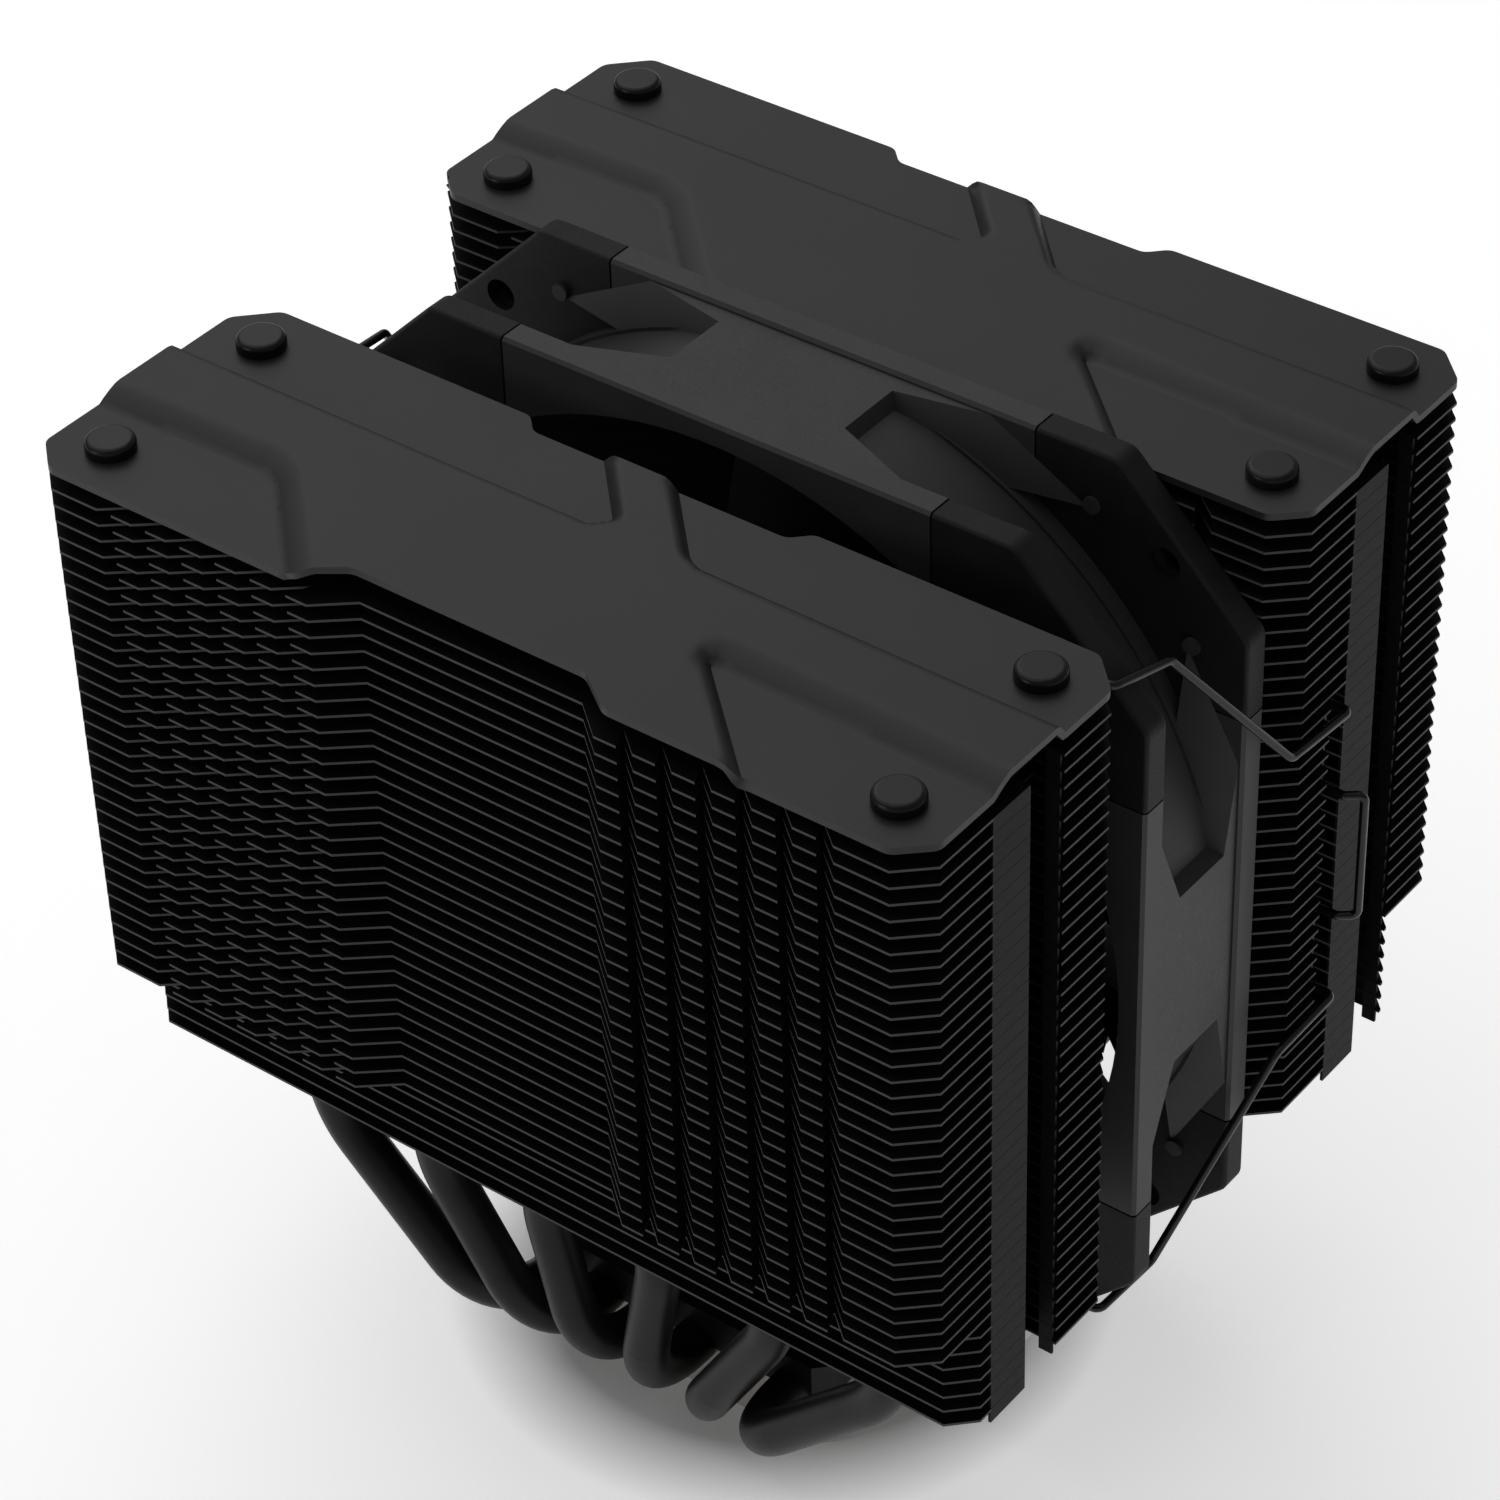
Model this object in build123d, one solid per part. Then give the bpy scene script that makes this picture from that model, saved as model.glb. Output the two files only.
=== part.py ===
"""Dual-tower CPU air cooler with one fan between its fin towers.

Millimetres, +Z up. The origin is the centre of the cold plate's contact face, X runs along
the towers, and Y is the direction of the airflow, from the front tower to the back one.
"""
import os

from build123d import *

# ---- Driving dimensions ---------------------------------------------------------------
TOWER_LENGTH = 136.4          # fin length along X
TOWER_DEPTH = 42.8            # fin depth along Y
TOWER_GAP = 34.6              # free space between the two towers
FIN_THICKNESS = 0.4
FIN_PITCH = 2.42
TOOTHED_FINS = 33             # upper fins, with the sawtooth intake edge
PLAIN_FINS = 7                # lower fins, cut back on the outer side
COVER_Z = 149.0               # upper side of the covers' low pads
COVER_THICKNESS = 1.0
EMBOSS_HEIGHT = 1.6

PIPE_RADIUS = 3.2
PIPE_FIT = 0.05               # radial clearance in the fins
PIPE_BASE_FIT = 0.02          # and in the base's grooves
PIPE_STACK_X = (-48.0, -28.8, -9.6, 9.6, 28.8, 48.0)
PIPE_BASE_PITCH = 8.2
PIPE_BASE_Z = 9.0

BASE_X = 52.0
BASE_Y = 50.0
BLOCK_TOP_Z = 15.0

FAN_SIZE = 130.0
FAN_DEPTH = 26.4
FAN_CENTRE_Z = 87.0
FAN_HOLE_PITCH = 105.0
FAN_HOLE_RADIUS = 2.3
FAN_CORNER_CUT = 19.6         # leg of the octagon's corner chamfer
FLANGE = 4.3
DUCT_RADIUS = 61.8
BLADES = 9

WIRE_RADIUS = 0.6
SCREW_SPACING = 73.0

# ---- Worked out from them -------------------------------------------------------------
HALF_X = TOWER_LENGTH / 2
FRONT_TOWER_Y = -TOWER_GAP / 2 - TOWER_DEPTH      # front edge of the front tower
BACK_TOWER_Y = TOWER_GAP / 2                      # front edge of the back tower
PIPE_Y = TOWER_GAP / 2 + TOWER_DEPTH / 2          # pipe rows, each side of the middle
TOP_FIN_Z = COVER_Z - COVER_THICKNESS - FIN_PITCH + FIN_THICKNESS / 2
FAN_REST = 0.1                                    # between the fan and the back tower it leans on
FAN_FRONT_Y = TOWER_GAP / 2 - FAN_REST - FAN_DEPTH
OVERRUN = 1.0                                     # how far a cut runs past the solid it cuts

os.makedirs("parts", exist_ok=True)


def save(shape, name, colour):
    """Write one node; a list becomes a group of separate solids."""
    solids = [s for item in shape for s in item.solids()] if isinstance(shape, list) else shape.solids()
    node = Compound(children=list(solids)) if len(solids) > 1 else solids[0]
    node.label = name
    node.color = Color(*colour)
    export_step(node, f"parts/{name}.step")


def upward_face(points):
    """Flat face over a closed outline, looking up."""
    face = make_face(Polyline(*points, close=True)).face()
    return face if face.normal_at().Z > 0 else -face


def prism(points, height, z=0.0):
    """Straight prism over a closed outline."""
    return Pos(0, 0, z) * extrude(upward_face(points), height)


def rod(radius, height, x=0.0, y=0.0, z=0.0):
    """Upright cylinder whose lower end is at z."""
    return Pos(x, y, z) * Cylinder(radius, height, align=(Align.CENTER, Align.CENTER, Align.MIN))


def tube(outer, inner, height, z=0.0):
    return rod(outer, height, z=z) - rod(inner, height, z=z)


def block(x0, x1, y0, y1, z0, z1):
    return Pos((x0 + x1) / 2, (y0 + y1) / 2, (z0 + z1) / 2) * Box(x1 - x0, y1 - y0, z1 - z0)


def wire(points, radii, radius):
    """Round bar bent along straight runs joined by arcs."""
    path = FilletPolyline(*points, radius=radii)
    start = Plane(origin=path @ 0, z_dir=path % 0)
    return sweep(start * Circle(radius), path)


BLACK_METAL = (0.06, 0.06, 0.065)
COPPER_PLATED = (0.72, 0.70, 0.68)
STEEL = (0.55, 0.55, 0.57)
PLASTIC = (0.07, 0.07, 0.075)
RUBBER = (0.03, 0.03, 0.03)
FERRITE = (0.2, 0.18, 0.17)
BRONZE = (0.7, 0.55, 0.3)
COPPER = (0.65, 0.33, 0.15)
BOARD_GREEN = (0.05, 0.2, 0.1)

# ---- Tower outline, in the tower's own x and y (y = 0 on its front edge) ---------------
FRONT_CUT_X, FRONT_CUT_Y = 4.2, 3.9               # front corner chamfers
BACK_CUT = 4.9                                    # back corner chamfers
RECESS_X, RECESS_DEPTH = 22.0, 4.1                # shallow recess in the middle of the front
NOTCH_X, NOTCH_DEPTH = 22.1, 2.5                  # the same in the middle of the back
RECESS_SLOPE = 4.9
TEETH, TOOTH_PITCH, TOOTH_DEPTH = 6, 5.72, 3.2
TOOTH_FLAT, TOOTH_UNDERCUT = 3.3, 1.4             # each tooth leans over the notch beside it
SLOT_X = HALF_X - 3.4                             # bottom of the clip slot
SLOT_MOUTH_Y, SLOT_FRONT_Y, SLOT_BACK_Y = 10.9, 12.3, 14.2
SLOT_REACH = 1.0                                  # the slots go this far past the clips' hooks
HOOK_Z, HANDLE_Z = 23.7, 10.0                     # the clips' hooks and handle, from their middle
CLIP_RISE = 2.4                                   # that middle sits above the fan's
TAB_SEAM = 0.06                                   # between a folded tab and the next fin
INNER_TAB, TAB_INSET = 2.6, 0.6                   # width of the second tab, short of the fin's end
GROOVE_X = HALF_X - 4.5                           # bottom of the vertical groove
GROOVE_FRONT_Y, GROOVE_BACK_Y = 21.6, 28.4
SLOT_CENTRE_Y = (SLOT_FRONT_Y + SLOT_BACK_Y) / 2
PLAIN_FRONT_Y = 8.7                               # front edge of the front tower's plain fins
PLAIN_BACK_Y = 32.2                               # back edge of the back tower's plain fins
PLAIN_CUT = 3.3


def mirrored(points):
    """The same points on the left side, in the order that continues the outline."""
    return [(-x, y) for x, y in reversed(points)]


def toothed_front():
    """Right half of the intake edge: half the recess, the teeth, the corner chamfer."""
    points = [(RECESS_X - RECESS_SLOPE, RECESS_DEPTH)]
    for tooth in range(TEETH):
        x = RECESS_X + tooth * TOOTH_PITCH
        points += [(x, 0), (x + TOOTH_FLAT, 0), (x + TOOTH_FLAT - TOOTH_UNDERCUT, TOOTH_DEPTH)]
    end = RECESS_X + TEETH * TOOTH_PITCH
    return points + [(end, 0), (HALF_X - FRONT_CUT_X, 0), (HALF_X, FRONT_CUT_Y)]


def clip_slot():
    return [(HALF_X, SLOT_MOUTH_Y), (SLOT_X, SLOT_FRONT_Y), (SLOT_X, SLOT_BACK_Y), (HALF_X, SLOT_BACK_Y)]


def end_groove():
    """Right end behind the slot: smooth band, then the groove."""
    return [(HALF_X, GROOVE_FRONT_Y), (GROOVE_X, GROOVE_FRONT_Y), (GROOVE_X, GROOVE_BACK_Y),
            (HALF_X, GROOVE_BACK_Y)]


def notched_back():
    """Right half of the back edge, from the corner chamfer to the shallow notch."""
    return [(HALF_X, TOWER_DEPTH - BACK_CUT), (HALF_X - BACK_CUT, TOWER_DEPTH), (NOTCH_X, TOWER_DEPTH),
            (NOTCH_X - NOTCH_DEPTH, TOWER_DEPTH - NOTCH_DEPTH)]


def straight_front():
    return [(HALF_X - PLAIN_CUT, PLAIN_FRONT_Y), (HALF_X, PLAIN_FRONT_Y + PLAIN_CUT)]


def straight_back():
    return [(HALF_X, PLAIN_BACK_Y - PLAIN_CUT), (HALF_X - PLAIN_CUT, PLAIN_BACK_Y)]


def whole(front, end, back):
    """Closed outline from its right half."""
    right = front + end + back
    return right + mirrored(right)


def tab(inner_x, outer_x, front_y, back_y):
    """Right-hand folded tab, which hangs down to the next fin."""
    return block(inner_x, outer_x, front_y, back_y, FIN_THICKNESS - FIN_PITCH + TAB_SEAM, 0)


def fin(front, end, back):
    """One fin with its six pipe holes and the folded tabs on each end that space it."""
    plate = prism(whole(front, end, back), FIN_THICKNESS)
    tabs = tab(HALF_X - FIN_THICKNESS, HALF_X, SLOT_BACK_Y, GROOVE_FRONT_Y)
    tabs += tab(HALF_X - INNER_TAB, HALF_X - TAB_INSET, GROOVE_BACK_Y, GROOVE_BACK_Y + FIN_THICKNESS)
    plate += tabs
    plate += mirror(tabs, Plane.YZ)
    for x in PIPE_STACK_X:
        plate -= rod(PIPE_RADIUS + PIPE_FIT, FIN_THICKNESS + 2 * OVERRUN, x, TOWER_DEPTH / 2, -OVERRUN)
    return plate


def fin_z(index):
    return TOP_FIN_Z - FIN_THICKNESS - index * FIN_PITCH


def fin_stack(template, first, count, tower_y, slotted=None):
    """Fins from the first index down; those beside the clips' hidden runs are slotted."""
    reach = HOOK_Z + SLOT_REACH
    fins = []
    for index in range(first, first + count):
        beside_clip = slotted is not None and abs(fin_z(index) - FAN_CENTRE_Z - CLIP_RISE) < reach
        fins.append(Pos(0, tower_y, fin_z(index)) * (slotted if beside_clip else template))
    return fins


# ---- Fin towers ------------------------------------------------------------------------
slotted_end = clip_slot() + end_groove()
toothed = fin(toothed_front(), end_groove(), notched_back())
toothed_slotted = fin(toothed_front(), slotted_end, notched_back())
front_plain = fin(straight_front(), end_groove(), notched_back())
back_plain = fin(toothed_front(), end_groove(), straight_back())
back_plain_slotted = fin(toothed_front(), slotted_end, straight_back())
save(fin_stack(toothed, 0, TOOTHED_FINS, FRONT_TOWER_Y), "front_tower_fins", BLACK_METAL)
save(fin_stack(front_plain, TOOTHED_FINS, PLAIN_FINS, FRONT_TOWER_Y), "front_tower_lower_fins", BLACK_METAL)
save(fin_stack(toothed, 0, TOOTHED_FINS, BACK_TOWER_Y, toothed_slotted), "back_tower_fins", BLACK_METAL)
save(fin_stack(back_plain, TOOTHED_FINS, PLAIN_FINS, BACK_TOWER_Y, back_plain_slotted),
     "back_tower_lower_fins", BLACK_METAL)

# ---- Top covers: formed sheet with a raised band and lobes, and four caps each ----------
COVER_RECESS_X, COVER_RECESS_INNER_X = 23.6, 17.8
BACK_COVER_RECESS = 1.0                           # the back cover is hardly cut in beside the fan
BAND_FRONT_Y, BAND_BACK_Y = 13.9, 28.7            # foot of the raised band
FRONT_LOBE_LEFT, FRONT_LOBE_RIGHT = -26.0, 42.6   # where the front lobe meets the front edge
BACK_LOBE_LEFT, BACK_LOBE_RIGHT = -9.0, 3.1       # where the back lobe meets the back edge
CAP_X, CAP_FRONT_Y, CAP_BACK_Y = 60.2, 7.3, 35.3
CAP_RADIUS, CAP_HEIGHT, CAP_ROUND = 3.3, 1.8, 0.8
CAP_STEM, CAP_FIT, CAP_STEM_END = 1.5, 0.05, 0.5
EMBOSS_TAPER = 52
MARGIN = 6.0                                      # overrun past the outline, trimmed off again


def cover_outline(recess_depth):
    front = [(COVER_RECESS_INNER_X, recess_depth), (COVER_RECESS_X, 0), (HALF_X - FRONT_CUT_X, 0),
             (HALF_X, FRONT_CUT_Y)]
    return whole(front, [], notched_back())


def raised_outline():
    """Foot of the raised area: full-length band, wide front lobe, slanted back lobe."""
    reach = HALF_X + MARGIN
    lobe_depth = BAND_FRONT_Y
    back_rise = TOWER_DEPTH - NOTCH_DEPTH - BAND_BACK_Y
    return [(-reach, BAND_FRONT_Y), (FRONT_LOBE_LEFT - lobe_depth, BAND_FRONT_Y),
            (FRONT_LOBE_LEFT + MARGIN, -MARGIN), (FRONT_LOBE_RIGHT + MARGIN, -MARGIN),
            (FRONT_LOBE_RIGHT - lobe_depth, BAND_FRONT_Y), (reach, BAND_FRONT_Y),
            (reach, BAND_BACK_Y), (BACK_LOBE_RIGHT + back_rise, BAND_BACK_Y),
            (BACK_LOBE_RIGHT - MARGIN, TOWER_DEPTH - NOTCH_DEPTH + MARGIN),
            (BACK_LOBE_LEFT - MARGIN, TOWER_DEPTH - NOTCH_DEPTH + MARGIN),
            (BACK_LOBE_LEFT + back_rise, BAND_BACK_Y), (-reach, BAND_BACK_Y)]


def raised_solid(z):
    return Pos(0, 0, z) * extrude(upward_face(raised_outline()), EMBOSS_HEIGHT, taper=EMBOSS_TAPER)


def cover(recess_depth):
    low = prism(cover_outline(recess_depth), COVER_THICKNESS)
    tall = prism(cover_outline(recess_depth), COVER_THICKNESS + EMBOSS_HEIGHT)
    sheet = (low + (raised_solid(COVER_THICKNESS) & tall)) - raised_solid(0)
    for x in (-CAP_X, CAP_X):
        for y in (CAP_FRONT_Y, CAP_BACK_Y):
            sheet -= rod(CAP_STEM + CAP_FIT, COVER_THICKNESS + 2 * OVERRUN, x, y, -OVERRUN)
    return sheet


def cap(x, y):
    """Round button with a rounded rim and a stem through the cover."""
    head = rod(CAP_RADIUS, CAP_HEIGHT, x, y, COVER_THICKNESS)
    head = fillet(head.edges().group_by(Axis.Z)[-1], CAP_ROUND)
    return head + rod(CAP_STEM, COVER_THICKNESS + CAP_STEM_END, x, y, 0)


for prefix, tower_y, recess in (("front", FRONT_TOWER_Y, RECESS_DEPTH),
                                ("back", BACK_TOWER_Y, BACK_COVER_RECESS)):
    place = Pos(0, tower_y, COVER_Z - COVER_THICKNESS)
    save(place * cover(recess), f"{prefix}_cover", BLACK_METAL)
    save([place * cap(x, y) for x in (-CAP_X, CAP_X) for y in (CAP_FRONT_Y, CAP_BACK_Y)],
         f"{prefix}_cover_caps", RUBBER)

# ---- Heat pipes: each runs down the front tower, through the base and up the back tower --
PIPE_TOP_GAP = 0.3                                # between the pipes' ends and the covers
PIPE_TOP_Z = COVER_Z - COVER_THICKNESS - PIPE_TOP_GAP
PIPE_UPPER_BEND_Z = 36.0
PIPE_LOWER_BEND_Y = 38.0
PIPE_UPPER_BEND_RADIUS, PIPE_LOWER_BEND_RADIUS = 16.0, 12.0


def pipe_base_x(index):
    return (index - (len(PIPE_STACK_X) - 1) / 2) * PIPE_BASE_PITCH


for index, stack_x in enumerate(PIPE_STACK_X):
    base_x = pipe_base_x(index)
    half = [(stack_x, -PIPE_Y, PIPE_TOP_Z), (stack_x, -PIPE_Y, PIPE_UPPER_BEND_Z),
            (base_x, -PIPE_LOWER_BEND_Y, PIPE_BASE_Z)]
    route = half + [(x, -y, z) for x, y, z in reversed(half)]
    bends = [PIPE_UPPER_BEND_RADIUS, PIPE_LOWER_BEND_RADIUS,
             PIPE_LOWER_BEND_RADIUS, PIPE_UPPER_BEND_RADIUS]
    save(wire(route, bends, PIPE_RADIUS), f"heat_pipe_{index + 1}", BLACK_METAL)

# ---- Base: cold plate, clamping block, mounting bar and its spring screws ---------------
EDGE_BREAK, PLATE_EDGE_BREAK = 2.0, 0.4
BAR_HALF_LENGTH, BAR_WIDTH, BAR_THICKNESS = 41.5, 12.0, 2.5
BAR_END_RADIUS = 4.0
BAR_TOP_Z = BLOCK_TOP_Z + BAR_THICKNESS
CRANK_GAP, CRANK_RUN = 0.8, 3.5                   # the crank starts just past the block
BAR_SCREW_X, BAR_SCREW_RADIUS, BAR_SCREW_FIT = 14.0, 1.5, 0.1
BAR_SCREW_DEPTH, BAR_SCREW_HOLE_DEPTH = 2.0, 2.2
BAR_SCREW_HEAD_RADIUS, BAR_SCREW_HEAD_HEIGHT, BAR_SCREW_ROUND = 2.8, 1.8, 0.6
KEY_RADIUS, KEY_DEPTH = 1.25, 1.0                 # hexagonal socket
SCREW_SHANK, SCREW_HOLE = 2.4, 2.6
THREAD_RADIUS, THREAD_LOW_Z, THREAD_HIGH_Z = 1.5, 1.0, 7.0
SCREW_HEAD_RADIUS, SCREW_HEAD_Z, SCREW_HEAD_HEIGHT, SCREW_ROUND = 4.0, 16.5, 3.0, 0.5
CROSS_HALF_LENGTH, CROSS_HALF_WIDTH, CROSS_DEPTH = 2.4, 0.5, 1.4
SPRING_BAR_Z = 9.5                                # the bar's ends are cranked down to here
RING_THICKNESS, RING_OUTER, RING_INNER, RING_GROOVE = 0.75, 3.9, 2.02, 2.0
RING_MOUTH_HALF, RING_REST = 1.2, 0.06            # its opening, and its play under the bar


def base_half(low_z, high_z):
    """Plate or block of the base, with a half-round groove for each pipe."""
    body = block(-BASE_X / 2, BASE_X / 2, -BASE_Y / 2, BASE_Y / 2, low_z, high_z)
    body = chamfer(body.edges().filter_by(Axis.Z), EDGE_BREAK)
    for index in range(len(PIPE_STACK_X)):
        bore = Rot(90, 0, 0) * Cylinder(PIPE_RADIUS + PIPE_BASE_FIT, 2 * BASE_Y)
        body -= Pos(pipe_base_x(index), 0, PIPE_BASE_Z) * bore
    return body


cold_plate = base_half(0, PIPE_BASE_Z)
cold_plate = chamfer(cold_plate.faces().sort_by(Axis.Z)[0].edges(), PLATE_EDGE_BREAK)
save(cold_plate, "cold_plate", COPPER_PLATED)

base_block = base_half(PIPE_BASE_Z, BLOCK_TOP_Z)
for x in (-BAR_SCREW_X, BAR_SCREW_X):
    hole_low = BLOCK_TOP_Z - BAR_SCREW_HOLE_DEPTH
    base_block -= rod(BAR_SCREW_RADIUS, BAR_SCREW_HOLE_DEPTH + OVERRUN, x, 0, hole_low)
save(base_block, "base_block", BLACK_METAL)


def mounting_bar():
    """Steel bar across the block, cranked down at both ends where the spring screws sit."""
    knee = BASE_X / 2 + CRANK_GAP
    foot = knee + CRANK_RUN
    low_top = SPRING_BAR_Z + BAR_THICKNESS
    right_top = [(BAR_HALF_LENGTH, low_top), (foot + 1.0, low_top), (knee + 1.0, BAR_TOP_Z)]
    right_low = [(knee, BLOCK_TOP_Z), (foot, SPRING_BAR_Z), (BAR_HALF_LENGTH, SPRING_BAR_Z)]
    right = right_low + right_top
    outline = make_face(Plane.XZ * Polyline(*right, *mirrored(right), close=True))
    bar = extrude(outline, BAR_WIDTH / 2, both=True)
    for end in (0, -1):
        bar = fillet(bar.edges().filter_by(Axis.Z).group_by(Axis.X)[end], BAR_END_RADIUS)
    for side in (-1, 1):
        bar -= rod(SCREW_HOLE, BAR_TOP_Z, side * SCREW_SPACING / 2)
        bar -= rod(BAR_SCREW_RADIUS + BAR_SCREW_FIT, BAR_TOP_Z + OVERRUN, side * BAR_SCREW_X)
    return bar


save(mounting_bar(), "mounting_bar", STEEL)


def bar_screw(x):
    """Button head screw with a hexagonal socket, which holds the bar on the block."""
    head = rod(BAR_SCREW_HEAD_RADIUS, BAR_SCREW_HEAD_HEIGHT, x, 0, BAR_TOP_Z)
    head = fillet(head.edges().group_by(Axis.Z)[-1], BAR_SCREW_ROUND)
    socket = extrude(RegularPolygon(KEY_RADIUS, 6), KEY_DEPTH + OVERRUN)
    head -= Pos(x, 0, BAR_TOP_Z + BAR_SCREW_HEAD_HEIGHT - KEY_DEPTH) * socket
    shank = BAR_THICKNESS + BAR_SCREW_DEPTH
    return head + rod(BAR_SCREW_RADIUS - PIPE_BASE_FIT, shank, x, 0, BLOCK_TOP_Z - BAR_SCREW_DEPTH)


save([bar_screw(-BAR_SCREW_X), bar_screw(BAR_SCREW_X)], "bar_screws", STEEL)


def spring_screw(x):
    """Shouldered screw: head, shank through the bar, thread below, cross in the head."""
    screw = rod(SCREW_HEAD_RADIUS, SCREW_HEAD_HEIGHT, z=SCREW_HEAD_Z)
    screw = fillet(screw.edges().group_by(Axis.Z)[-1], SCREW_ROUND)
    screw += rod(SCREW_SHANK, SCREW_HEAD_Z - THREAD_HIGH_Z, z=THREAD_HIGH_Z)
    screw += rod(THREAD_RADIUS, THREAD_HIGH_Z - THREAD_LOW_Z, z=THREAD_LOW_Z)
    top = SCREW_HEAD_Z + SCREW_HEAD_HEIGHT
    bar = block(-CROSS_HALF_LENGTH, CROSS_HALF_LENGTH, -CROSS_HALF_WIDTH, CROSS_HALF_WIDTH,
                top - CROSS_DEPTH, top + OVERRUN)
    screw -= bar + Rot(0, 0, 90) * bar
    groove_z = ring_z() - (RING_INNER - RING_GROOVE)
    groove_height = RING_THICKNESS + 2 * (RING_INNER - RING_GROOVE)
    groove = tube(SCREW_SHANK + OVERRUN, RING_GROOVE, groove_height, groove_z)
    return Pos(x, 0, 0) * (screw - groove)


def ring_z():
    return SPRING_BAR_Z - RING_REST - RING_THICKNESS


def retaining_ring(x):
    """Snap ring in the shank's groove, which stops the screw below the bar."""
    ring = tube(RING_OUTER, RING_INNER, RING_THICKNESS, ring_z())
    mouth = block(-RING_MOUTH_HALF, RING_MOUTH_HALF, 0, RING_OUTER + OVERRUN, 0, SPRING_BAR_Z)
    return Pos(x, 0, 0) * (ring - mouth)


SPRING_LOW_Z = SPRING_BAR_Z + BAR_THICKNESS
SPRING_WIRE, SPRING_RADIUS, SPRING_TURNS = 0.45, 3.2, 4


def coil_spring(x):
    """Compression spring between the bar and the screw's head."""
    height = SCREW_HEAD_Z - SPRING_LOW_Z - 2 * SPRING_WIRE
    helix = Helix(height / SPRING_TURNS, height, SPRING_RADIUS)
    start = Plane(origin=helix @ 0, z_dir=helix % 0)
    coil = sweep(start * Circle(SPRING_WIRE), helix, is_frenet=True)
    return Pos(x, 0, SPRING_LOW_Z + SPRING_WIRE) * coil


for side, name in ((-1, "left"), (1, "right")):
    screw_x = side * SCREW_SPACING / 2
    save(spring_screw(screw_x), f"spring_screw_{name}", STEEL)
    save(retaining_ring(screw_x), f"screw_retaining_ring_{name}", STEEL)
    save(coil_spring(screw_x), f"screw_spring_{name}", STEEL)

# ---- Fan, in its own frame: axis along z, air enters at z = 0, x and y across -----------
HALF_FAN = FAN_SIZE / 2
SEAM, SEAM_GAP = 33.2, 0.3                        # rubber corners start this far from the middle
LIP_RADIUS = 63.7
TONGUE, TONGUE_INSET, TONGUE_CUT = 1.4, 3.0, 18.4
PIN_NEAR, PIN_FAR, PIN_RADIUS, PIN_PROUD = 41.9, 57.0, 1.2, 0.5
SHELL_FLAT, SHELL_REAR_RADIUS = 64.3, 64.2
FLAT_WALL, FLAT_TAPER = 8.0, 20
PAD_CORNER_RADIUS, PAD_EDGE_RADIUS = 2.6, 0.6
BAR_EDGE_CHAMFER = 0.45
SHELL_REAR_Z = 19.5                               # the duct's wall steps out behind here
POCKET_X, POCKET_Z, POCKET_END_X = 13.6, 9.5, 26.5
CUP_RADIUS, CUP_THICKNESS = 21.5, 3.0
BEARING_TUBE_RADIUS, BEARING_RADIUS, SHAFT_RADIUS = 5.2, 4.0, 1.5
BEARING_TUBE_Z, BEARING_BLIND = 8.0, 1.0          # front end of its tube, depth into the cup's floor
STRUTS, STRUT_WIDTH, STRUT_HEIGHT = 4, 4.0, 4.0
STRUT_ROOT, STRUT_TIP = CUP_RADIUS - 2.0, DUCT_RADIUS + 0.8
NOTCH_NEAR, NOTCH_FAR, CABLE_NOTCH_DEPTH = 21.2, 27.2, 2.0
HOLE = FAN_HOLE_PITCH / 2


def octagon(half, cut):
    inner = half - cut
    right = [(inner, -half), (half, -inner), (half, inner), (inner, half)]
    return right + [(-x, y) for x, y in reversed(right)]


def past_seam(slab, height, z, seam=SEAM):
    """The part of a flange slab that lies outside the round lip, for x and y both past the seam."""
    quadrant = block(seam, HALF_FAN + OVERRUN, seam, HALF_FAN + OVERRUN, z, z + height)
    return (slab & quadrant) - rod(LIP_RADIUS, height, z=z)


def corner_region(half, cut, height, z):
    return past_seam(prism(octagon(half, cut), height, z), height, z)


def fan_hole():
    return rod(FAN_HOLE_RADIUS, FAN_DEPTH + 2 * OVERRUN, HOLE, HOLE, -OVERRUN)


def tongue(flange_z):
    """Thin web of the frame inside a rubber corner."""
    return corner_region(HALF_FAN - TONGUE_INSET, TONGUE_CUT, TONGUE, flange_z + (FLANGE - TONGUE) / 2)


def corner_pins(flange_z, inner_side):
    """Two pins of the web that come through the rubber on the side facing the duct's middle."""
    reach = FLANGE / 2 + PIN_PROUD
    z = flange_z + FLANGE / 2 if inner_side > 0 else flange_z + FLANGE / 2 - reach
    return rod(PIN_RADIUS, reach, PIN_NEAR, PIN_FAR, z) + rod(PIN_RADIUS, reach, PIN_FAR, PIN_NEAR, z)


def rubber_corner(flange_z, inner_side):
    slab = prism(octagon(HALF_FAN, FAN_CORNER_CUT), FLANGE, flange_z)
    slab = fillet(slab.edges().filter_by(Axis.Z), PAD_CORNER_RADIUS)
    ends = slab.edges().group_by(Axis.Z)
    slab = fillet(ends[0] + ends[-1], PAD_EDGE_RADIUS)
    pad = past_seam(slab, FLANGE, flange_z, SEAM + SEAM_GAP)
    pad = pad - tongue(flange_z) - corner_pins(flange_z, inner_side)
    return pad - fan_hole()


def side_flat():
    """Flat on top of the duct: narrow between its two pockets, spreading to both flanges."""
    back = FAN_DEPTH - FLANGE
    right = [(POCKET_END_X, FLANGE), (POCKET_X, POCKET_Z), (POCKET_X, SHELL_REAR_Z), (POCKET_END_X, back)]
    outline = right + mirrored(right)
    top = make_face(Plane.XZ * Polyline(*outline, close=True)).face()
    outward = top if top.normal_at().Y > 0 else -top
    wall = extrude(Pos(0, SHELL_FLAT, 0) * -outward, FLAT_WALL, taper=-FLAT_TAPER)
    return wall & block(-HALF_FAN, HALF_FAN, 0, HALF_FAN, FLANGE, back)


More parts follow.
